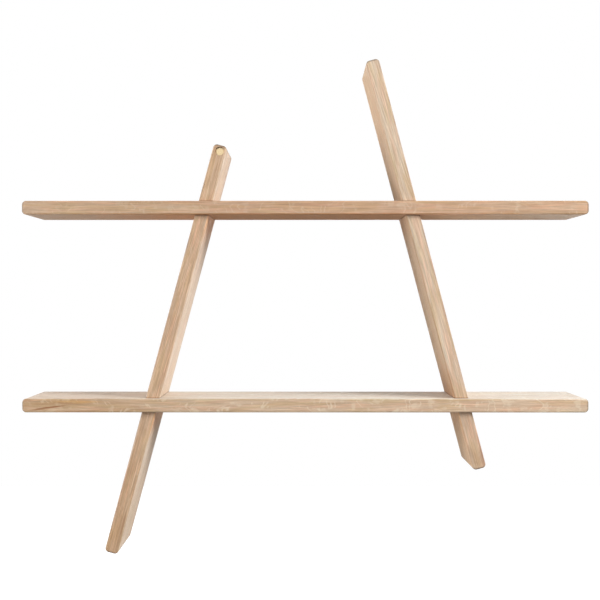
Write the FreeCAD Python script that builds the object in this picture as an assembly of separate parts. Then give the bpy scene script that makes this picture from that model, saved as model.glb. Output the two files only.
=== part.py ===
import FreeCAD, Part
import math
import os

V = FreeCAD.Vector

# A wall-hung A-frame shelf in solid oak: two level shelf boards and two leaning uprights.
# Each shelf is slotted from the back and each upright is notched from the front, and they
# push into each other at four cross-halving joints, so the shelf's front runs unbroken.
# Sizes are millimetres. X runs along the shelves, Z is up, and the wall plane is Y = 0 with
# the front towards -Y. The origin is the middle of the upper shelf's back edge.

# Boards
shelf_length = 930.0
shelf_depth = 125.0
upright_length = 697.0
board_thickness = 22.5
end_corner_radius = 6.5
edge_radius = 2.5
back_edge_chamfer = 1.0

# Layout, with angles in degrees from upright
shelf_pitch = 325.0
front_setback = 8.0
left_end_to_crossing = 298.0
right_end_to_crossing = 290.5
left_lean_deg = 15.1
right_lean_deg = 14.8
left_head_length = 107.3
right_head_length = 252.2

# Cross-halving joints
slot_depth_share = 0.5
joint_clearance = 0.2

# Brass disc sunk in the left upright's front
disc_radius = 7.1
disc_thickness = 2.0
disc_rim_width = 0.9
disc_rim_height = 0.3
disc_edge_chamfer = 0.25
disc_face_depth = 6.0
disc_from_end = 10.0
disc_off_centre = 0.8
disc_clearance = 0.15
disc_pin_radius = 2.5
disc_pin_length = 9.0

# Keyhole hanger plates let into the upper shelf's back edge
hanger_spacing = 600.0
plate_length = 50.0
plate_height = 16.0
plate_thickness = 2.0
plate_sink = 0.2
plate_clearance = 0.15
keyhole_entry_radius = 4.0
keyhole_slot_width = 4.4
keyhole_travel = 6.0
pocket_width = 11.0
pocket_depth = 9.0
pocket_ledge = 0.8
pocket_corner_radius = 3.5

# Screws that hold each plate
screw_spacing = 38.0
screw_head_radius = 3.3
screw_shank_radius = 1.75
screw_length = 16.0
screw_tip_length = 2.5
screw_clearance = 0.1
drive_span = 3.6
drive_width = 0.8
drive_depth = 1.1

# How far a cutting shape runs past what it cuts
overrun = 5.0

ACROSS = V(0, 1, 0)
upright_depth = shelf_depth - front_setback
slot_depth = shelf_depth * slot_depth_share


def runs_front_to_back(edge):
    """Tells whether a straight or curved edge starts off along the board's depth."""
    return abs(edge.tangentAt(edge.FirstParameter).dot(ACROSS)) > math.cos(math.pi / 4)


def eased_board(length, depth):
    """A board along X with round end corners, a rounded front and a lightly broken back."""
    half_thickness = board_thickness / 2
    board = Part.makeBox(length, depth, board_thickness, V(-length / 2, -depth, -half_thickness))
    board = board.makeFillet(end_corner_radius, [e for e in board.Edges if runs_front_to_back(e)])
    front_edges = [e for e in board.Edges if e.BoundBox.YMax < -depth / 2]
    board = board.makeFillet(edge_radius, front_edges)
    back_edges = [e for e in board.Edges if e.BoundBox.YMin > -depth / 2]
    return board.makeChamfer(back_edge_chamfer, back_edges)


def upright_direction(side):
    """The unit vector up along an upright, -1 for the left one and 1 for the right one."""
    lean = math.radians(left_lean_deg if side < 0 else right_lean_deg)
    return V(-side * math.sin(lean), 0, math.cos(lean))


def crossing_point(side):
    """Where an upright's centre line meets the middle of the upper shelf, in the wall plane."""
    from_end = left_end_to_crossing if side < 0 else right_end_to_crossing
    return V(side * (shelf_length / 2 - from_end), 0, 0)


def leaned(shape, side):
    """Turns a shape that lies along X until it lies along the upright, with X as its up."""
    lean_deg = left_lean_deg if side < 0 else right_lean_deg
    shape.rotate(V(0, 0, 0), ACROSS, side * -lean_deg - math.degrees(math.pi / 2))
    return shape


def shelf_slot(side):
    """The cutter for one slot: the upright's own leaning faces with the joint's clearance."""
    width = board_thickness + 2 * joint_clearance
    reach = shelf_pitch + upright_length
    slot = Part.makeBox(2 * reach, slot_depth + overrun, width, V(-reach, -slot_depth, -width / 2))
    slot = leaned(slot, side)
    slot.translate(crossing_point(side))
    return slot


def slotted_shelf(height):
    """A shelf board at a height, slotted from the back for both uprights."""
    shelf = eased_board(shelf_length, shelf_depth)
    shelf.translate(V(0, 0, height))
    return shelf.cut([shelf_slot(-1), shelf_slot(1)])


def shelf_notch(height):
    """The cutter for the level notch that takes one shelf, open to the upright's front."""
    notch_height = board_thickness + 2 * joint_clearance
    notch_floor = slot_depth - joint_clearance
    depth = shelf_depth + overrun - notch_floor
    corner = V(-shelf_length / 2, -notch_floor - depth, height - notch_height / 2)
    return Part.makeBox(shelf_length, depth, notch_height, corner)


def notched_upright(side, head_length):
    """A leaning upright, notched from the front for both shelves."""
    upright = leaned(eased_board(upright_length, upright_depth), side)
    middle_from_crossing = head_length - upright_length / 2
    upright.translate(crossing_point(side) + upright_direction(side) * middle_from_crossing)
    return upright.cut([shelf_notch(0), shelf_notch(-shelf_pitch)])


def disc_axis_point():
    """The disc's centre line, just right of the board's middle, where it meets the wall plane."""
    up = upright_direction(-1)
    on_middle = crossing_point(-1) + up * (left_head_length - disc_from_end)
    return on_middle + ACROSS.cross(up) * disc_off_centre


def disc_seat():
    """The stepped hole in the upright: a wide recess for the disc and a bore for its pin."""
    mouth = -upright_depth - overrun
    floor_depth = disc_face_depth + disc_thickness
    recess = Part.makeCylinder(
        disc_radius + disc_clearance, overrun + floor_depth, V(0, mouth, 0), ACROSS
    )
    bore = Part.makeCylinder(
        disc_pin_radius + disc_clearance,
        overrun + floor_depth + disc_pin_length + disc_clearance,
        V(0, mouth, 0),
        ACROSS,
    )
    seat = recess.fuse(bore)
    seat.translate(disc_axis_point())
    return seat


def turned(profile, base):
    """Turns a closed outline of (radius, depth) points about a front-to-back axis."""
    points = [base + V(radius, depth, 0) for radius, depth in profile]
    face = Part.Face(Part.makePolygon(points + points[:1]))
    return face.revolve(base, ACROSS, math.degrees(2 * math.pi))


def brass_disc():
    """A plain disc with a low raised rim, on a short pin that holds it in the upright."""
    back = disc_thickness - disc_clearance
    rim_inner = disc_radius - disc_rim_width
    profile = [
        (0, disc_rim_height),
        (rim_inner - disc_rim_height, disc_rim_height),
        (rim_inner, 0),
        (disc_radius - disc_edge_chamfer, 0),
        (disc_radius, disc_edge_chamfer),
        (disc_radius, back),
        (disc_pin_radius, back),
        (disc_pin_radius, back + disc_pin_length),
        (0, back + disc_pin_length),
    ]
    return turned(profile, disc_axis_point() + V(0, disc_face_depth - upright_depth, 0))


def rounded_slab(length, height, radius, thickness, front):
    """A flat plate with round corners in the XZ plane, from one depth towards the wall."""
    slab = Part.makeBox(length, thickness, height, V(-length / 2, front, -height / 2))
    return slab.makeFillet(radius, [e for e in slab.Edges if runs_front_to_back(e)])


def plate_blank(clearance, thickness, back):
    """A hanger plate's outline with nearly half-round ends, grown by a clearance."""
    length = plate_length + 2 * clearance
    height = plate_height + 2 * clearance
    end_radius = height / 2 - pocket_ledge / 2
    return rounded_slab(length, height, end_radius, thickness, back - thickness)


def hanger_centres():
    """The middle of each hanger plate, named by its side."""
    return {"left": V(-hanger_spacing / 2, 0, 0), "right": V(hanger_spacing / 2, 0, 0)}


def screw_places():
    """The two screws of a plate, measured from the plate's middle."""
    return [V(-screw_spacing / 2, 0, 0), V(screw_spacing / 2, 0, 0)]


def screw_body(grown):
    """A countersunk screw with its head's face in the plate's face, grown by a clearance."""
    head = screw_head_radius + grown
    shank = screw_shank_radius + grown
    under_head = -plate_sink - (screw_head_radius - screw_shank_radius)
    profile = [
        (0, -plate_sink),
        (head, -plate_sink),
        (shank, under_head),
        (shank, -plate_sink - screw_length + screw_tip_length),
        (0, -plate_sink - screw_length - grown),
    ]
    return turned(profile, V(0, 0, 0))


def drive_recess():
    """The crossed slots in a screw's head."""
    front = -plate_sink - drive_depth
    depth = drive_depth + overrun
    slots = []
    for span_x, span_z in ((drive_span, drive_width), (drive_width, drive_span)):
        slots.append(Part.makeBox(span_x, depth, span_z, V(-span_x / 2, front, -span_z / 2)))
    return slots[0].fuse(slots[1])


def keyhole():
    """The hole that a wall screw's head enters low and its shank slides up in."""
    front = -plate_sink - plate_thickness - overrun
    through = plate_thickness + 2 * overrun
    low = -keyhole_travel / 2
    slot_radius = keyhole_slot_width / 2
    entry = Part.makeCylinder(keyhole_entry_radius, through, V(0, front, low), ACROSS)
    seat = Part.makeCylinder(slot_radius, through, V(0, front, -low), ACROSS)
    way = Part.makeBox(keyhole_slot_width, through, keyhole_travel, V(-slot_radius, front, low))
    return entry.fuse([way, seat])


def hanger_plate():
    """A steel plate with a keyhole in its middle and a countersunk hole at each end."""
    plate = plate_blank(0, plate_thickness, -plate_sink)
    cuts = [keyhole()]
    for place in screw_places():
        hole = screw_body(screw_clearance)
        hole.translate(place)
        cuts.append(hole)
    return plate.cut(cuts)


def hanger_seat():
    """What is routed and drilled in the shelf's back edge for one plate."""
    plate_bed = plate_sink + plate_thickness + plate_clearance
    recess = plate_blank(plate_clearance, plate_bed + overrun, overrun)
    pocket_height = plate_height - 2 * pocket_ledge
    pocket = rounded_slab(
        pocket_width,
        pocket_height,
        pocket_corner_radius,
        plate_bed + pocket_depth,
        -plate_bed - pocket_depth,
    )
    cuts = [recess, pocket]
    for place in screw_places():
        pilot = Part.makeCylinder(
            screw_shank_radius + screw_clearance,
            plate_sink + screw_length + screw_clearance,
            place,
            -ACROSS,
        )
        cuts.append(pilot)
    return cuts[0].fuse(cuts[1:])


def hanger_screws():
    """The pair of screws of one plate."""
    screws = []
    for place in screw_places():
        screw = screw_body(0).cut(drive_recess())
        screw.translate(place)
        screws.append(screw)
    return Part.makeCompound(screws)


def moved(shape, place):
    shape.translate(place)
    return shape


def build():
    """Every separate piece of the shelf, by name."""
    seats = [moved(hanger_seat(), centre) for centre in hanger_centres().values()]
    pieces = {
        "upper_shelf": slotted_shelf(0).cut(seats),
        "lower_shelf": slotted_shelf(-shelf_pitch),
        "left_upright": notched_upright(-1, left_head_length).cut(disc_seat()),
        "right_upright": notched_upright(1, right_head_length),
        "brass_disc": brass_disc(),
    }
    for side, centre in hanger_centres().items():
        pieces[side + "_hanger_plate"] = moved(hanger_plate(), centre)
        pieces[side + "_hanger_screws"] = moved(hanger_screws(), centre)
    return pieces


os.makedirs("parts", exist_ok=True)
for name, shape in build().items():
    shape.exportStep("parts/" + name + ".step")
    print(name, len(shape.Solids), "solid", round(shape.Volume), "mm3", shape.isValid())
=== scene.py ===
import math

import bpy
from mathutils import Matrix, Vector


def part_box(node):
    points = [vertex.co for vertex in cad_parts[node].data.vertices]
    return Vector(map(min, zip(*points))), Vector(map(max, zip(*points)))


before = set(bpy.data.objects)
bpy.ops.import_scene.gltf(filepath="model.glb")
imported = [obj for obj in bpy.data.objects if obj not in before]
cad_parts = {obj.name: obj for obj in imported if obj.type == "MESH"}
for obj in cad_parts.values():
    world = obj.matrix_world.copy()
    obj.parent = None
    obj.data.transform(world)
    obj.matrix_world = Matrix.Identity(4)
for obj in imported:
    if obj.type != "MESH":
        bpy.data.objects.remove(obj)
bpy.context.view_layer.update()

# A wall-hung A-frame shelf in pale oak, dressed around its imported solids. Metres, with X along
# the shelves, Z up, and the wall plane at Y = 0 behind the shelf.


def tone(red, green, blue):
    """A colour with its alpha, as Blender's colour sockets take it."""
    return (red, green, blue, 1.0)


WHITE = tone(1.0, 1.0, 1.0)
UNTONED = WHITE

# The pieces' own sizes
SHELF_HALF_SIZE = (0.465, 0.0625, 0.01125)
UPRIGHT_HALF_SIZE = (0.3485, 0.0585, 0.01125)
SHELF_HEIGHTS = (0.0, -0.325)
JOINT_HALF_HEIGHT = 0.01145
DISC_RADIUS = 0.0071

# How far each board's length is turned from level, about the front-to-back axis
LEVEL = 0.0
UPRIGHT = math.radians(90.0)
LEFT_LEAN = math.radians(15.1)
RIGHT_LEAN = math.radians(14.8)

# The boards. A board's figure is its values for the inputs of the solid oak group, among them
# its face and far tones, which paint light and shade on one wide face. An upright's corners are
# its values for the joint line group's painted shade on its inner face, under each shelf and on
# top of the lower one.
BOARDS = {
    "upper_shelf": dict(
        turn=LEVEL,
        half_size=SHELF_HALF_SIZE,
        sheen=0.0,
        corners=None,
        figure=dict(
            shift=(0.3, 0.0, 0.0),
            pith=(0.0, -0.08, -0.10),
            taper=(0.0, 0.01, 0.02),
            ring_strength=0.55,
            ray_strength=0.3,
            streak_strength=0.7,
            pale_wood=tone(0.615, 0.445, 0.305),
            pink_wood=tone(0.60, 0.395, 0.27),
            # painted shade on its long edges
            arris_tone=tone(0.90, 0.84, 0.76),
            under_tone=tone(0.90, 0.78, 0.62),
            deep_from=0.05,
            deep_span=0.35,
            deep_tone=tone(1.02, 1.03, 1.03),
            # painted shade, warm, under the middle of the underside, and painted light on it
            # towards the ends
            face_side=-1.0,
            face_middle=-0.05,
            face_near=0.14,
            face_far=0.40,
            painted_face_tone=tone(1.02, 0.80, 0.60),
            painted_far_tone=tone(1.28, 1.36, 1.46),
        ),
    ),
    "lower_shelf": dict(
        turn=LEVEL,
        half_size=SHELF_HALF_SIZE,
        sheen=0.19,
        corners=None,
        figure=dict(
            shift=(2.1, 0.4, 0.2),
            pith=(0.0, -0.06, -0.14),
            taper=(0.0, 0.0, 0.01),
            ray_strength=0.85,
            pale_wood=tone(0.70, 0.56, 0.41),
            pink_wood=tone(0.68, 0.50, 0.355),
            # painted shade on its upper edges, and a painted reflection of light from below on
            # its under edges
            arris_tone=tone(0.78, 0.70, 0.60),
            under_tone=tone(1.18, 1.20, 1.14),
            deep_from=-0.10,
            deep_span=-0.34,
            deep_tone=tone(0.86, 0.76, 0.66),
            # painted reflection of light on the top, strongest towards the right end
            face_side=1.0,
            face_middle=0.465,
            face_near=0.15,
            face_far=0.90,
            painted_face_tone=tone(1.05, 1.24, 1.45),
            painted_far_tone=tone(0.95, 1.07, 1.19),
            stain_place=(-0.422, -0.06, -0.0038),
            stain_size=(0.038, 0.03, 0.0024),
            stain_slope=0.145,
            golden_place=(-0.375, -0.06, 0.0065),
            golden_size=(0.055, 0.03, 0.0035),
        ),
    ),
    "left_upright": dict(
        turn=UPRIGHT - LEFT_LEAN,
        half_size=UPRIGHT_HALF_SIZE,
        sheen=0.12,
        # painted shade on its inner face under the shelves
        corners=dict(beneath=tone(1.26, 0.95, 0.70)),
        figure=dict(
            shift=(4.7, 0.9, 0.3),
            pith=(0.0, -0.05, 0.12),
            taper=(0.0, 0.0, 0.008),
            ring_width=0.0023,
            ring_strength=0.9,
            ray_strength=0.2,
            streak_strength=0.75,
            dash_strength=0.65,
            pale_wood=tone(0.71, 0.53, 0.37),
            pink_wood=tone(0.70, 0.49, 0.335),
            # painted shade on its long edges
            arris_tone=tone(0.74, 0.74, 0.78),
            under_tone=tone(0.96, 0.92, 0.86),
            deep_from=-0.08,
            deep_span=-0.27,
            deep_tone=tone(0.90, 0.84, 0.76),
            # painted reflection of light on the right side
            face_side=-1.0,
            painted_face_tone=tone(1.04, 1.19, 1.38),
            stain_place=(-0.294, -0.06, -0.0070),
            stain_size=(0.030, 0.03, 0.0026),
            stain_strength=0.5,
        ),
    ),
    "right_upright": dict(
        turn=UPRIGHT + RIGHT_LEAN,
        half_size=UPRIGHT_HALF_SIZE,
        sheen=0.04,
        # painted shade on its inner face under the shelves and on top of the lower one
        corners=dict(beneath=tone(1.04, 0.94, 0.84), shade_on_top=tone(0.84, 0.74, 0.66)),
        figure=dict(
            shift=(6.2, 1.3, 0.8),
            pith=(0.0, 0.02, 0.03),
            taper=(0.0, 0.01, -0.09),
            ring_strength=0.5,
            ray_strength=0.25,
            streak_strength=0.5,
            pale_wood=tone(0.74, 0.61, 0.47),
            pink_wood=tone(0.71, 0.55, 0.415),
            arris_tone=tone(0.97, 0.94, 0.91),
            # painted shade on its right-hand edges
            under_tone=tone(0.62, 0.59, 0.60),
            deep_from=-0.08,
            deep_span=-0.24,
            deep_tone=tone(0.91, 0.85, 0.81),
            # painted shade on the left side, and painted light on it below the lower shelf
            face_side=1.0,
            face_middle=0.10,
            face_near=0.32,
            face_far=0.37,
            painted_face_tone=tone(0.86, 0.80, 0.72),
            painted_far_tone=tone(1.20, 1.17, 1.08),
        ),
    ),
}

# A scale is a noise's waves in a metre along the grain, to the back and through the thickness.
# A pair is the range of a noise, a distance or a part of a ring over which something sets in.
NOISE_MIDDLE = 0.5

# Growth rings, and the pores that gather in their early wood
SWAY_SCALE = (2.4, 9.0, 9.0)
SWAY_REACH = (0.0, 0.02, 0.02)
RING_CHANGE = 0.7
RING_UNEVENNESS = 1.8
EARLY_WOOD_BEGINS = (0.0, 0.2)
EARLY_WOOD_ENDS = (0.3, 0.8)
RING_DARKNESS = 0.6
PORE_SCALE = (120.0, 2600.0, 2600.0)
PORES = (0.57, 0.67)
PORES_ANYWHERE = 0.2
PORES_IN_EARLY_WOOD = 0.8
PORE_DARKNESS = 0.4

# Bands and streaks along the board, warm and olive patches, fibres and short dark dashes
BAND_SCALE = (4.0, 42.0, 42.0)
PINK_BANDS = (0.34, 0.66)
STREAK_SCALE = (7.0, 150.0, 150.0)
DARK_STREAKS = (0.44, 0.76)
PATCH_SCALE = (15.0, 130.0, 130.0)
WARM_PATCHES = (0.46, 0.62)
WARM_TONE = tone(1.06, 0.96, 0.92)
OLIVE_PATCHES = (0.48, 0.64)
OLIVE_TONE = tone(0.97, 0.94, 0.83)
FIBRE_SCALE = (28.0, 620.0, 620.0)
FIBRES = (0.25, 0.75)
FIBRE_SHADES = (0.80, 1.16)
FIBRE_GAPS = (0.3, 0.5)
DASH_SCALE = (52.0, 760.0, 760.0)
DASHES = (0.54, 0.66)

# Ray flecks: wavy slanting sheets, cut where they come to the surface, and pale flakes
RAY_LEAN_SCALE = (9.0, 40.0, 70.0)
RAY_LEAN = 2.4
RAYS_ALONG = 70.0
RAYS_SLANTED = -130.0
RAYS_OUTWARD = 24.0
RAYS_AROUND = 45.0
RAY_THICKNESS = (0.004, 0.05)
RAY_CLUSTER_SCALE = (30.0, 60.0, 90.0)
RAY_CLUSTERS = (0.5, 0.62)
FLAKE_SCALE = (70.0, 60.0, 90.0)
FLAKES = (0.57, 0.70)
FLAKE_STRENGTH = 0.65
RAY_COLOR = tone(0.78, 0.66, 0.50)
RAY_PALENESS = 0.75

# Where the painted light and shade of one wide face set in, off the middle of the board's
# thickness
FACE_FROM_MIDDLE = (0.0085, 0.0110)

# Marks on the front: dark stains, and a golden streak
MARK_WANDER = 0.005
STAIN_HEART, STAIN_DENSITY, STAIN_IN_GAPS = 0.4, 0.95, 0.5
STAIN_COLOR = tone(0.30, 0.12, 0.04)
GOLDEN_HEART, GOLDEN_DENSITY, GOLDEN_IN_GAPS = 0.3, 0.9, 0.6
GOLDEN_TONE = tone(1.02, 0.86, 0.58)

# Rubbed edges, whose tones also paint shade on them, and a painted reflection of light from
# below on the lower shelf's under edges; and darker end grain, with painted shade on the last
# end. In the board's own axes, the edges below the middle of the thickness have their own tone,
# and so has each end: X begins at the first one.
ARRIS_REACH = (0.0035, 0.0035, 0.0035)
ARRIS_ROUND = (0.0, 0.7)
LOWER_HALF = (0.0, -0.002)
RUB_SCALE = (28.0, 90.0, 90.0)
RUBBED = (0.25, 0.6)
END_FACING = (0.05, 0.7)
MIDDLE_OF_LENGTH = (-0.1, 0.1)
# The last end's darker tone is painted shade
FIRST_END_TONE = tone(0.52, 0.50, 0.49)
LAST_END_TONE = tone(0.42, 0.41, 0.41)

# Matt oil on the oak: flecks and rubbed edges shine a little more, and end grain less
OAK_ROUGHNESS, FIBRE_ROUGHNESS = 0.43, 0.14
FLECK_SHINE, ARRIS_SHINE, END_GRAIN_ROUGHNESS = 0.10, 0.04, 0.25
PORE_DEPTH, FIBRE_RELIEF = -1.0, 0.35
OAK_RELIEF, OAK_RELIEF_DEPTH = 0.35, 0.0003

# Joints: a dark line round each one, which also paints the contact shadow there, and painted
# shade on an upright's inner face that fades out from the shelves
BY_JOINT = (0.0, 0.004)
SHADE_BENEATH_FADES = (0.015, 0.070)
SHADE_ON_TOP_FADES = (0.020, 0.075)
JOINT_LINE = (0.0002, 0.0022)
JOINT_LINE_DARKNESS = 0.8
JOINT_LINE_TONE = tone(0.42, 0.30, 0.22)

# Turned brass of the disc
BRASS = dict(bright=tone(0.93, 0.73, 0.44), dull=tone(0.62, 0.42, 0.18), radius=DISC_RADIUS)
GROOVES_PER_METRE = 5200.0
GROOVE_ROUGHNESS = 0.16
POLISHED_ROUGHNESS = 0.20
FILM_SCALE = (420.0, 420.0, 420.0)
FILM = (0.45, 0.75)
FILM_DULLNESS = 0.35
FILM_ROUGHNESS = 0.15
DISC_RIM = (0.90, 1.0)
DISC_RIM_DULLNESS = 0.35
METAL_RELIEF = 0.3
BRASS_RELIEF_DEPTH = 0.00004

# Zinc plating of the hanger plates and screws
ZINC, ZINC_FIGURE_AT, ZINC_RELIEF_DEPTH = tone(0.60, 0.61, 0.63), (0.0, 0.0, 0.0), 0.00005
STEEL, STEEL_FIGURE_AT, STEEL_RELIEF_DEPTH = tone(0.50, 0.51, 0.53), (0.4, 0.2, 0.1), 0.00003
CRYSTAL_SCALE = (420.0, 420.0, 420.0)
CRYSTAL_DARKEST, CRYSTAL_CONTRAST = 0.92, 0.16
TINGE_SCALE = (60.0, 60.0, 60.0)
BLUISH, YELLOWISH = tone(0.93, 0.98, 1.06), tone(1.05, 1.0, 0.90)
RUB_MARK_SCALE = (140.0, 900.0, 3200.0)
PLATED_ROUGHNESS, RUB_MARK_ROUGHNESS, RUB_MARK_RELIEF = 0.22, 0.3, 0.6

# Camera, fitted to the photograph
CAMERA_PLACE = (-0.0043, -1.7840, -0.1420)
CAMERA_TILT = math.radians(90.0 - 0.329)
CAMERA_PAN = math.radians(0.143)
CAMERA_LENS = 60.71
CAMERA_SENSOR = 36.0

# Studio: a key softbox on the right, a weaker one on the left, one behind, white all round
SOFTBOXES = {
    "key softbox": dict(place=(3.25, -1.72, 1.35), size=1.6, power=186.0, mirrored=False),
    "left softbox": dict(place=(-2.85, -0.56, 0.1), size=1.2, power=76.0, mirrored=True),
    "back softbox": dict(place=(0.0, 2.8, -0.15), size=1.2, power=55.0, mirrored=False),
}
LAMP_TARGET = (0.0, -0.06, -0.15)
AMBIENT = 0.44
# A reflection that looks this far sideways sees a darker surround
BESIDE = (0.45, 0.85)
MIRRORED_BESIDE = 0.25
FLOOR_HEIGHT = -1.15
FLOOR_SIZE = 7.0
FLOOR_COLOR = tone(0.20, 0.20, 0.20)
FLOOR_GLOW = 0.96
FLOOR_MIRRORED = 0.08
WALL_GAP = 0.003
WALL_SIZE = 4.0
WALL_COLOR = tone(0.8, 0.8, 0.8)
# A reflection shows the wall only from this far off, so the back edges don't mirror it
WALL_MIRRORED_FROM = (0.004, 0.015)


class Nodes:
    """Short ways to add and join nodes in one tree."""

    def __init__(self, tree):
        self.tree = tree

    def add(self, kind, **settings):
        node = self.tree.nodes.new(kind)
        for name, value in settings.items():
            setattr(node, name, value)
        return node

    def feed(self, socket, value):
        """Joins an output to an input, or sets the input's own value."""
        if isinstance(value, bpy.types.NodeSocket):
            self.tree.links.new(value, socket)
        else:
            socket.default_value = value

    def placed(self, group, **values):
        """A node group with its inputs fed by name. Gives its outputs."""
        node = self.add("ShaderNodeGroup", node_tree=group)
        for name, value in values.items():
            self.feed(node.inputs[name.replace("_", " ").title()], value)
        return node.outputs

    def math(self, operation, *values, clamp=False):
        node = self.add("ShaderNodeMath", operation=operation, use_clamp=clamp)
        for socket, value in zip(node.inputs, values):
            self.feed(socket, value)
        return node.outputs[0]

    def times(self, first, second):
        return self.math("MULTIPLY", first, second)

    def minus(self, first, second):
        return self.math("SUBTRACT", first, second)

    def vector(self, operation, *values):
        node = self.add("ShaderNodeVectorMath", operation=operation)
        for socket, value in zip(node.inputs, values):
            self.feed(socket, value)
        return node.outputs["Value" if operation in ("LENGTH", "DOT_PRODUCT") else "Vector"]

    def scaled(self, vector, scale):
        return self.vector("MULTIPLY", vector, scale)

    def split(self, vector):
        node = self.add("ShaderNodeSeparateXYZ")
        self.feed(node.inputs[0], vector)
        return node.outputs

    def join(self, x, y, z):
        node = self.add("ShaderNodeCombineXYZ")
        for socket, value in zip(node.inputs, (x, y, z)):
            self.feed(socket, value)
        return node.outputs[0]

    def noise(self, place, scale=None, detail=2.0, rough=0.5, output="Fac"):
        """Noise at a place, drawn out or pressed together by a scale in each direction."""
        node = self.add("ShaderNodeTexNoise")
        self.feed(node.inputs["Vector"], self.scaled(place, scale) if scale else place)
        self.feed(node.inputs["Scale"], 1.0)
        self.feed(node.inputs["Detail"], detail)
        self.feed(node.inputs["Roughness"], rough)
        return node.outputs[output]

    def ramp(self, value, span, to=(0.0, 1.0)):
        """Smooth step of a value over a span, from one number to another."""
        node = self.add("ShaderNodeMapRange", interpolation_type="SMOOTHSTEP")
        names = ("Value", "From Min", "From Max", "To Min", "To Max")
        for name, number in zip(names, (value, *span, *to)):
            self.feed(node.inputs[name], number)
        return node.outputs[0]

    def fade(self, value, span, strength=1.0):
        """Full up to a span, and gone after it."""
        return self.ramp(value, span, (strength, 0.0))

    def number_mix(self, factor, first, second):
        node = self.add("ShaderNodeMix", data_type="FLOAT")
        for name, number in zip(("Factor", "A", "B"), (factor, first, second)):
            self.feed(node.inputs[name], number)
        return node.outputs["Result"]

    def mix(self, factor, first, second, blend="MIX"):
        node = self.add("ShaderNodeMix", data_type="RGBA", blend_type=blend)
        self.feed(node.inputs["Factor"], factor)
        self.feed(node.inputs["A"], first)
        self.feed(node.inputs["B"], second)
        return node.outputs["Result"]

    def toned(self, color, second):
        """A colour multiplied by another."""
        return self.mix(1.0, color, second, blend="MULTIPLY")

    def shaded(self, color, level):
        """A colour made lighter or darker by a number."""
        return self.toned(color, self.join(level, level, level))


INPUT_KINDS = {1: "NodeSocketFloat", 3: "NodeSocketVector", 4: "NodeSocketColor"}


def new_material(name):
    """An empty node material's nodes, and its output."""
    material = bpy.data.materials.new(name)
    material.use_nodes = True
    tree = material.node_tree
    tree.nodes.clear()
    return material, Nodes(tree), tree.nodes.new("ShaderNodeOutputMaterial")


def group_with(name, inputs, outputs):
    """A shader node group, and the ends to build it between.

    An input's default gives its kind: a number, a vector of three, or a tone of four.
    """
    group = bpy.data.node_groups.new(name, "ShaderNodeTree")
    for socket, value in inputs.items():
        kind = INPUT_KINDS[len(value) if isinstance(value, tuple) else 1]
        made = group.interface.new_socket(socket, in_out="INPUT", socket_type=kind)
        made.default_value = value
    for socket in outputs:
        kind = "NodeSocketColor" if socket == "Color" else "NodeSocketFloat"
        group.interface.new_socket(socket, in_out="OUTPUT", socket_type=kind)
    nodes = Nodes(group)
    start = nodes.add("NodeGroupInput").outputs
    end = nodes.add("NodeGroupOutput").inputs
    return group, nodes, start, end


def growth_rings(n, start, place, along):
    """How far out and round the pith a place is, and how much it is early wood."""
    sway = n.noise(place, SWAY_SCALE, output="Color")
    sway = n.scaled(n.vector("SUBTRACT", sway, (NOISE_MIDDLE,) * 3), SWAY_REACH)
    drift = n.scaled(start["Taper"], n.join(along, along, along))
    bent = n.vector("ADD", start["Vector"], n.vector("ADD", sway, drift))
    from_pith = n.scaled(n.vector("SUBTRACT", bent, start["Pith"]), (0.0, 1.0, 1.0))
    radius = n.vector("LENGTH", from_pith)
    _, back, through = n.split(from_pith)
    arc = n.times(n.math("ARCTAN2", back, through), radius)

    rings = n.math("DIVIDE", radius, start["Ring Width"])
    uneven = n.noise(n.join(0.0, n.times(rings, RING_CHANGE), 0.0), detail=1.0)
    year = n.math("FRACT", n.math("ADD", rings, n.times(uneven, RING_UNEVENNESS)))
    early = n.times(n.ramp(year, EARLY_WOOD_BEGINS), n.fade(year, EARLY_WOOD_ENDS))
    return radius, arc, early


def ray_flecks(n, place, along, radius, arc):
    """Slanting flecks in clusters, and flakes."""
    lean = n.noise(place, RAY_LEAN_SCALE, detail=1.0)
    slant = n.math("MULTIPLY_ADD", along, RAYS_ALONG, n.times(arc, RAYS_SLANTED))
    slant = n.math("MULTIPLY_ADD", lean, RAY_LEAN, slant)
    sheets = n.join(slant, n.times(radius, RAYS_OUTWARD), n.times(arc, RAYS_AROUND))
    crest = n.math("ABSOLUTE", n.minus(n.noise(sheets, detail=1.0), NOISE_MIDDLE))
    gathered = n.noise(place, RAY_CLUSTER_SCALE, detail=1.0)
    rays = n.times(n.fade(crest, RAY_THICKNESS), n.ramp(gathered, RAY_CLUSTERS))
    flakes = n.ramp(n.noise(place, FLAKE_SCALE), FLAKES, (0.0, FLAKE_STRENGTH))
    return n.math("MAXIMUM", rays, flakes)


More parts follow.
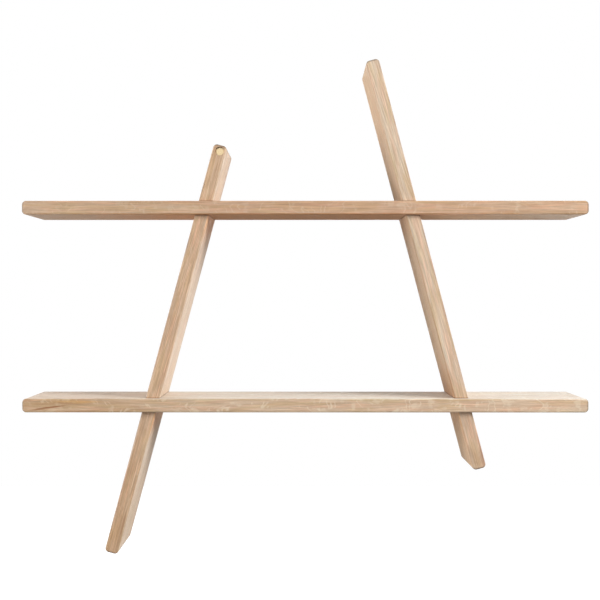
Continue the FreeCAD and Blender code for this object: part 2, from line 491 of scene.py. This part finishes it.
def wood_color(n, start, place, early, pores, fibres, streaks, flecks):
    """The wood's colour from its bands, streaks, patches, rings, fibres, pores and flecks."""
    dark = start["Dark Wood"]
    bands = n.ramp(n.noise(place, BAND_SCALE), PINK_BANDS)
    color = n.mix(bands, start["Pale Wood"], start["Pink Wood"])
    streaked = n.times(n.ramp(streaks, DARK_STREAKS), start["Streak Strength"])
    color = n.mix(streaked, color, dark)
    warm, olive, _ = n.split(n.noise(place, PATCH_SCALE, output="Color"))
    tint = n.mix(n.ramp(warm, WARM_PATCHES), UNTONED, WARM_TONE)
    tint = n.mix(n.ramp(olive, OLIVE_PATCHES), tint, OLIVE_TONE)
    color = n.toned(color, tint)
    ring_lines = n.times(early, n.times(start["Ring Strength"], RING_DARKNESS))
    color = n.mix(ring_lines, color, dark)
    color = n.shaded(color, n.ramp(fibres, FIBRES, FIBRE_SHADES))
    color = n.mix(n.times(pores, PORE_DARKNESS), color, dark)
    dashes = n.ramp(n.noise(place, DASH_SCALE, detail=1.0), DASHES)
    color = n.mix(n.times(dashes, start["Dash Strength"]), color, dark)
    return n.mix(flecks, color, n.mix(RAY_PALENESS, color, RAY_COLOR))


def tone_board(n, start, color, along, across):
    """A tone that deepens along the board, and painted light and shade on one wide face.

    Gives the colour, and one on that face.
    """
    deep = n.math("DIVIDE", n.minus(along, start["Deep From"]), start["Deep Span"])
    color = n.mix(n.ramp(deep, (0.0, 1.0)), color, n.toned(color, start["Deep Tone"]))
    # Painted light and shade on one wide face, near its middle and far from it
    face = n.ramp(n.times(across, start["Face Side"]), FACE_FROM_MIDDLE)
    off = n.math("ABSOLUTE", n.minus(along, start["Face Middle"]))
    far = n.ramp(off, (start["Face Near"], start["Face Far"]))
    face_painted = n.toned(color, n.mix(far, start["Painted Face Tone"], start["Painted Far Tone"]))
    return n.mix(face, color, face_painted), face


def oval_mark(n, offset, size, heart, density, fibres, in_gaps):
    """An oval mark: dense in its heart, gone at its size, and weaker between the fibres."""
    reach = n.vector("LENGTH", n.vector("DIVIDE", offset, size))
    solid = n.fade(reach, (heart, 1.0), density)
    return n.times(solid, n.ramp(fibres, FIBRE_GAPS, (in_gaps, 1.0)))


def add_marks(n, start, color, fibres, streaks):
    """A golden streak and a dark stain, which climbs along the board by its slope."""
    wander = n.times(n.minus(streaks, NOISE_MIDDLE), MARK_WANDER)
    place = n.vector("ADD", start["Vector"], n.join(0.0, 0.0, wander))
    offset = n.vector("SUBTRACT", place, start["Golden Place"])
    golden = oval_mark(
        n, offset, start["Golden Size"], GOLDEN_HEART, GOLDEN_DENSITY, fibres, GOLDEN_IN_GAPS
    )
    color = n.mix(golden, color, n.toned(color, GOLDEN_TONE))
    offset = n.vector("SUBTRACT", place, start["Stain Place"])
    climb = n.times(n.split(offset)[0], start["Stain Slope"])
    offset = n.vector("SUBTRACT", offset, n.join(0.0, 0.0, climb))
    stain = oval_mark(
        n, offset, start["Stain Size"], STAIN_HEART, STAIN_DENSITY, fibres, STAIN_IN_GAPS
    )
    return n.mix(n.times(stain, start["Stain Strength"]), color, STAIN_COLOR)


def tone_edges(n, start, color, place, along, across):
    """The tones of the rubbed long edges, partly painted shade and on the lower shelf's under
    edges a painted reflection, and of the darker end grain, with painted shade on the last end.
    """
    under = n.ramp(across, LOWER_HALF)
    # Rubbed long edges, their tones partly painted shade, and a painted reflection of light on
    # the lower shelf's under edges
    edge = n.toned(color, n.mix(under, start["Arris Tone"], start["Under Tone"]))
    rubbed = n.ramp(n.noise(place, RUB_SCALE, detail=3.0), RUBBED)
    color = n.mix(n.times(start["Arris"], rubbed), color, edge)
    # Darker end grain, with painted shade on the last end
    ends = n.mix(n.ramp(along, MIDDLE_OF_LENGTH), FIRST_END_TONE, LAST_END_TONE)
    return n.mix(start["End Grain"], color, n.toned(color, ends))


def solid_oak_group():
    """Oak as a solid block: growth rings round a pith, pores, rays and lengthwise streaks.

    The vector is a place in the board's own axes: X along the grain, Y to the back, Z through
    the thickness. The taper is how far the pith runs off the board's own length. The face is
    one of the two wide faces, on which the face and far tones paint light and shade by how far
    along it a place is from the face middle.
    """
    group, n, start, end = group_with(
        "solid oak",
        {
            "Vector": (0.0, 0.0, 0.0),
            "End Grain": 0.0,
            "Arris": 0.0,
            "Arris Tone": tone(0.88, 0.80, 0.70),
            "Under Tone": tone(0.88, 0.80, 0.70),
            "Pith": (0.0, -0.1, -0.12),
            "Taper": (0.0, 0.01, 0.02),
            "Shift": (0.0, 0.0, 0.0),
            "Ring Width": 0.0026,
            "Ring Strength": 0.5,
            "Ray Strength": 0.3,
            "Streak Strength": 0.5,
            "Dash Strength": 0.2,
            "Pale Wood": tone(0.62, 0.43, 0.29),
            "Dark Wood": tone(0.47, 0.29, 0.17),
            "Pink Wood": tone(0.62, 0.38, 0.26),
            # The face and far tones paint light and shade on one wide face
            "Face Side": 0.0,
            "Face Middle": 0.0,
            "Face Near": 1.0,
            "Face Far": 2.0,
            "Painted Face Tone": UNTONED,
            "Painted Far Tone": UNTONED,
            "Deep From": 0.0,
            "Deep Span": -0.35,
            "Deep Tone": UNTONED,
            "Stain Place": (0.0, 0.0, 1.0),
            "Stain Size": (0.045, 0.03, 0.005),
            "Stain Slope": 0.0,
            "Stain Strength": 1.0,
            "Golden Place": (0.0, 0.0, 1.0),
            "Golden Size": (0.045, 0.03, 0.005),
        },
        ("Color", "Roughness", "Height", "Face"),
    )
    place = n.vector("ADD", start["Vector"], start["Shift"])
    along, _, across = n.split(start["Vector"])
    radius, arc, early = growth_rings(n, start, place, along)
    where_pores = n.math("MULTIPLY_ADD", early, PORES_IN_EARLY_WOOD, PORES_ANYWHERE)
    pores = n.times(n.ramp(n.noise(place, PORE_SCALE, detail=1.0), PORES), where_pores)
    fibres = n.noise(place, FIBRE_SCALE, detail=3.0, rough=0.6)
    streaks = n.noise(place, STREAK_SCALE, detail=3.0, rough=0.6)
    flecks = n.times(ray_flecks(n, place, along, radius, arc), start["Ray Strength"])

    color = wood_color(n, start, place, early, pores, fibres, streaks, flecks)
    color, face = tone_board(n, start, color, along, across)
    color = add_marks(n, start, color, fibres, streaks)
    color = tone_edges(n, start, color, place, along, across)

    rough = n.math("MULTIPLY_ADD", fibres, FIBRE_ROUGHNESS, OAK_ROUGHNESS)
    rough = n.minus(rough, n.times(flecks, FLECK_SHINE))
    rough = n.math("ADD", rough, n.times(start["End Grain"], END_GRAIN_ROUGHNESS))
    rough = n.minus(rough, n.times(start["Arris"], ARRIS_SHINE))
    height = n.math("MULTIPLY_ADD", pores, PORE_DEPTH, n.times(fibres, FIBRE_RELIEF))

    n.feed(end["Color"], color)
    n.feed(end["Roughness"], rough)
    n.feed(end["Height"], height)
    n.feed(end["Face"], face)
    return group


def board_edges_group():
    """How near a place in a board is to its long edges, and to the edges round its ends.

    The place and the half size are in the board's own axes. One on an edge, and nothing at a
    reach from it.
    """
    group, n, start, end = group_with(
        "board edges",
        {"Vector": (0.0, 0.0, 0.0), "Half Size": (0.5, 0.06, 0.01), "Reach": ARRIS_REACH},
        ("Arris", "Rim"),
    )
    inner = n.vector("SUBTRACT", start["Half Size"], start["Reach"])
    past = n.vector("SUBTRACT", n.vector("ABSOLUTE", start["Vector"]), inner)
    past = n.vector("DIVIDE", n.vector("MAXIMUM", past, (0.0, 0.0, 0.0)), start["Reach"])
    x, y, z = n.split(past)
    n.feed(end["Arris"], n.ramp(n.times(y, z), ARRIS_ROUND))
    n.feed(end["Rim"], n.ramp(n.math("MAXIMUM", n.times(x, y), n.times(z, x)), ARRIS_ROUND))
    return group


def joint_line_and_shade_group():
    """Darkens the oak in a thin line where an upright runs into a shelf, a dark joint that also
    paints the contact shadow there, and paints shade on the upright's inner face in the corners,
    under each shelf and on top of the lower one."""
    group, n, start, end = group_with(
        "joint line",
        {
            "Vector": (0.0, 0.0, 0.0),
            "Color": tone(0.6, 0.4, 0.3),
            "Face": 0.0,
            "Beneath": UNTONED,
            "Shade On Top": UNTONED,
        },
        ("Color",),
    )

    def corner_shaded(color, off, fades, corner_shade):
        """Paints shade on the inner face from a shelf outwards, until it fades."""
        near = n.times(n.ramp(off, BY_JOINT), n.fade(off, fades))
        return n.mix(n.times(near, start["Face"]), color, n.toned(color, corner_shade))

    height = n.split(start["Vector"])[2]
    color = start["Color"]
    nearest = None
    for shelf in SHELF_HEIGHTS:
        off = n.minus(n.math("ABSOLUTE", n.minus(height, shelf)), JOINT_HALF_HEIGHT)
        off = n.math("ABSOLUTE", off)
        nearest = off if nearest is None else n.math("MINIMUM", nearest, off)
        # Painted shade on the inner face under this shelf
        color = corner_shaded(color, n.minus(shelf, height), SHADE_BENEATH_FADES, start["Beneath"])
    # Painted shade on the inner face on top of the lower shelf
    rise = n.minus(height, SHELF_HEIGHTS[-1])
    color = corner_shaded(color, rise, SHADE_ON_TOP_FADES, start["Shade On Top"])
    # A dark joint line, which also paints the contact shadow there
    line = n.fade(nearest, JOINT_LINE, JOINT_LINE_DARKNESS)
    n.feed(end["Color"], n.mix(line, color, n.toned(color, JOINT_LINE_TONE)))
    return group


def turned_metal_group():
    """Fine rings from turning about a front-to-back axis, with a dull film in places."""
    group, n, start, end = group_with(
        "turned metal",
        {
            "Vector": (0.0, 0.0, 0.0),
            "Bright": tone(0.9, 0.7, 0.4),
            "Dull": tone(0.6, 0.4, 0.2),
            "Radius": 0.007,
        },
        ("Color", "Roughness", "Height"),
    )
    from_axis = n.vector("LENGTH", n.scaled(start["Vector"], (1.0, 0.0, 1.0)))
    grooves = n.noise(n.join(n.times(from_axis, GROOVES_PER_METRE), 0.0, 0.0))
    film = n.noise(start["Vector"], FILM_SCALE, detail=3.0, rough=0.6)
    outward = n.math("DIVIDE", from_axis, start["Radius"])
    dull = n.math(
        "ADD",
        n.ramp(outward, DISC_RIM, (0.0, DISC_RIM_DULLNESS)),
        n.ramp(film, FILM, (0.0, FILM_DULLNESS)),
        clamp=True,
    )
    rough = n.math("MULTIPLY_ADD", grooves, GROOVE_ROUGHNESS, POLISHED_ROUGHNESS)
    n.feed(end["Color"], n.mix(dull, start["Bright"], start["Dull"]))
    n.feed(end["Roughness"], n.math("MULTIPLY_ADD", dull, FILM_ROUGHNESS, rough))
    n.feed(end["Height"], grooves)
    return group


def plated_metal_group():
    """Bright zinc plating: a faint crystal pattern, a bluish and yellowish tinge, rub marks."""
    group, n, start, end = group_with(
        "plated metal",
        {"Vector": (0.0, 0.0, 0.0), "Base": tone(0.6, 0.6, 0.6)},
        ("Color", "Roughness", "Height"),
    )
    place = start["Vector"]
    crystals = n.add("ShaderNodeTexVoronoi", voronoi_dimensions="3D")
    n.feed(crystals.inputs["Vector"], n.scaled(place, CRYSTAL_SCALE))
    shade = n.split(crystals.outputs["Color"])[0]
    color = n.toned(start["Base"], n.mix(n.noise(place, TINGE_SCALE), BLUISH, YELLOWISH))
    level = n.math("MULTIPLY_ADD", shade, CRYSTAL_CONTRAST, CRYSTAL_DARKEST)
    rubs = n.noise(place, RUB_MARK_SCALE, detail=3.0, rough=0.7)
    rough = n.math("MULTIPLY_ADD", rubs, RUB_MARK_ROUGHNESS, PLATED_ROUGHNESS)
    n.feed(end["Color"], n.shaded(color, level))
    n.feed(end["Roughness"], rough)
    n.feed(end["Height"], n.math("MULTIPLY_ADD", rubs, RUB_MARK_RELIEF, shade))
    return group


def finish_surface(n, output, color, finish, relief, relief_depth, **settings):
    """A Principled surface with a group's roughness and fine relief, and settings of its own."""
    bump = n.add("ShaderNodeBump")
    n.feed(bump.inputs["Height"], finish["Height"])
    n.feed(bump.inputs["Strength"], relief)
    n.feed(bump.inputs["Distance"], relief_depth)
    surface = n.add("ShaderNodeBsdfPrincipled")
    n.feed(surface.inputs["Base Color"], color)
    n.feed(surface.inputs["Roughness"], finish["Roughness"])
    n.feed(surface.inputs["Normal"], bump.outputs[0])
    for name, value in settings.items():
        n.feed(surface.inputs[name.replace("_", " ").title()], value)
    n.feed(output.inputs["Surface"], surface.outputs[0])


def oak_material(node, groups, turn, half_size, sheen, corners, figure):
    """The solid oak placed in one board's own axes."""
    oak_group, edges_group, joint_and_shade_group = groups
    material, n, output = new_material("oak " + node.replace("_", " "))
    low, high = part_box(node)
    centre = (low + high) / 2
    where = n.add("ShaderNodeTexCoord").outputs["Object"]
    turned = n.add("ShaderNodeVectorRotate", rotation_type="Y_AXIS")
    n.feed(turned.inputs["Vector"], where)
    n.feed(turned.inputs["Center"], centre)
    n.feed(turned.inputs["Angle"], turn)
    place = n.vector("SUBTRACT", turned.outputs[0], centre)
    edges = n.placed(edges_group, vector=place, half_size=half_size)

    along = Vector((math.cos(turn), 0.0, math.sin(turn)))
    facing = n.add("ShaderNodeNewGeometry").outputs["Normal"]
    end_on = n.math("ABSOLUTE", n.vector("DOT_PRODUCT", facing, along))
    end_grain = n.math("MAXIMUM", n.ramp(end_on, END_FACING), edges["Rim"])
    arris = edges["Arris"]
    oak = n.placed(oak_group, vector=place, end_grain=end_grain, arris=arris, **figure)
    color = oak["Color"]
    # Painted shade on an upright's inner face by the joints
    if corners:
        face = oak["Face"]
        color = n.placed(joint_and_shade_group, vector=where, color=color, face=face, **corners)["Color"]
    finish_surface(n, output, color, oak, OAK_RELIEF, OAK_RELIEF_DEPTH, sheen_weight=sheen)
    return material


def metal_material(name, group, about, relief_depth, **values):
    """A metal finish whose figure is centred on a place."""
    material, n, output = new_material(name)
    where = n.add("ShaderNodeTexCoord").outputs["Object"]
    finish = n.placed(group, vector=n.vector("SUBTRACT", where, about), **values)
    finish_surface(n, output, finish["Color"], finish, METAL_RELIEF, relief_depth, metallic=1.0)
    return material


def dress(node, material):
    """Gives a carried-over solid its finish."""
    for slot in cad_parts[node].material_slots:
        slot.material = material


def dress_shelf():
    groups = solid_oak_group(), board_edges_group(), joint_line_and_shade_group()
    for node, board in BOARDS.items():
        dress(node, oak_material(node, groups, **board))
    low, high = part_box("brass_disc")
    turned = turned_metal_group()
    middle = (low + high) / 2
    brass = metal_material("turned brass", turned, middle, BRASS_RELIEF_DEPTH, **BRASS)
    dress("brass_disc", brass)
    plated = plated_metal_group()
    zinc = metal_material("zinc plate", plated, ZINC_FIGURE_AT, ZINC_RELIEF_DEPTH, base=ZINC)
    steel = metal_material("screw steel", plated, STEEL_FIGURE_AT, STEEL_RELIEF_DEPTH, base=STEEL)
    for side in ("left", "right"):
        dress(side + "_hanger_plate", zinc)
        dress(side + "_hanger_screws", steel)


def put_in_scene(name, data):
    thing = bpy.data.objects.new(name, data)
    bpy.context.scene.collection.objects.link(thing)
    return thing


def add_camera():
    camera = bpy.data.cameras.new("camera")
    camera.lens = CAMERA_LENS
    camera.sensor_width = CAMERA_SENSOR
    stand = put_in_scene("camera", camera)
    stand.location = CAMERA_PLACE
    stand.rotation_euler = (CAMERA_TILT, 0.0, CAMERA_PAN)
    bpy.context.scene.camera = stand


def add_softbox(name, place, size, power, mirrored):
    """A square studio lamp aimed at the middle of the shelf."""
    lamp = bpy.data.lights.new(name, "AREA")
    lamp.size = size
    lamp.energy = power
    stand = put_in_scene(name, lamp)
    stand.visible_glossy = mirrored
    stand.location = place
    aim = Vector(LAMP_TARGET) - Vector(place)
    stand.rotation_euler = aim.to_track_quat("-Z", "Y").to_euler()


def ray_kinds(n):
    """One for a ray from the camera, and one for a reflected or transmitted ray."""
    path = n.add("ShaderNodeLightPath").outputs
    return path["Is Camera Ray"], n.math(
        "MAXIMUM", path["Is Glossy Ray"], path["Is Transmission Ray"]
    )


def add_world():
    """An even white surround, mirrored less at the sides."""
    world = bpy.data.worlds.new("studio")
    world.use_nodes = True
    world.node_tree.nodes.clear()
    n = Nodes(world.node_tree)
    sideways = n.split(n.add("ShaderNodeTexCoord").outputs["Generated"])[0]
    beside = n.ramp(n.math("ABSOLUTE", sideways), BESIDE, (1.0, MIRRORED_BESIDE))
    direct, reflected = ray_kinds(n)
    strength = n.number_mix(direct, n.number_mix(reflected, AMBIENT, beside), 1.0)
    light = n.add("ShaderNodeBackground")
    n.feed(light.inputs["Color"], WHITE)
    n.feed(light.inputs["Strength"], strength)
    n.feed(n.add("ShaderNodeOutputWorld").inputs["Surface"], light.outputs[0])
    bpy.context.scene.world = world


def stage_sheet(name, corners, material):
    """A flat sheet of the studio, from its four corners."""
    mesh = bpy.data.meshes.new(name)
    mesh.from_pydata(corners, [], [(0, 1, 2, 3)])
    mesh.materials.append(material)
    return put_in_scene(name, mesh)


def add_floor():
    """A pale floor that shows white, and keeps the shelf's shadow."""
    material, n, output = new_material("studio floor")
    matt = n.add("ShaderNodeBsdfDiffuse")
    n.feed(matt.inputs["Color"], FLOOR_COLOR)
    glow = n.add("ShaderNodeEmission")
    direct, reflected = ray_kinds(n)
    mirrored = n.times(reflected, FLOOR_MIRRORED)
    n.feed(glow.inputs["Strength"], n.math("MULTIPLY_ADD", direct, FLOOR_GLOW, mirrored))
    both = n.add("ShaderNodeAddShader")
    n.feed(both.inputs[0], matt.outputs[0])
    n.feed(both.inputs[1], glow.outputs[0])
    n.feed(output.inputs["Surface"], both.outputs[0])
    half = FLOOR_SIZE / 2
    corners = [(-half, -half), (half, -half), (half, half), (-half, half)]
    floor = stage_sheet("studio_floor", [(x, y, FLOOR_HEIGHT) for x, y in corners], material)


def add_wall():
    """The white wall that the shelf hangs on, which only shows where the shelf mirrors it."""
    material, n, output = new_material("studio wall")
    matt = n.add("ShaderNodeBsdfDiffuse")
    n.feed(matt.inputs["Color"], WALL_COLOR)
    clear = n.add("ShaderNodeBsdfTransparent")
    path = n.add("ShaderNodeLightPath").outputs
    back = n.add("ShaderNodeNewGeometry").outputs["Backfacing"]
    away = n.ramp(path["Ray Length"], WALL_MIRRORED_FROM)
    seen = n.times(n.times(path["Is Glossy Ray"], n.minus(1.0, back)), away)
    either = n.add("ShaderNodeMixShader")
    n.feed(either.inputs["Fac"], seen)
    n.feed(either.inputs[1], clear.outputs[0])
    n.feed(either.inputs[2], matt.outputs[0])
    n.feed(output.inputs["Surface"], either.outputs[0])
    half = WALL_SIZE / 2
    corners = [(-half, FLOOR_HEIGHT), (half, FLOOR_HEIGHT), (half, half), (-half, half)]
    wall = stage_sheet("studio_wall", [(x, WALL_GAP, z) for x, z in corners], material)


def set_stage():
    add_camera()
    add_world()
    add_floor()
    add_wall()
    for name, softbox in SOFTBOXES.items():
        add_softbox(name, **softbox)
    bpy.context.scene.view_settings.view_transform = "Standard"


dress_shelf()
set_stage()
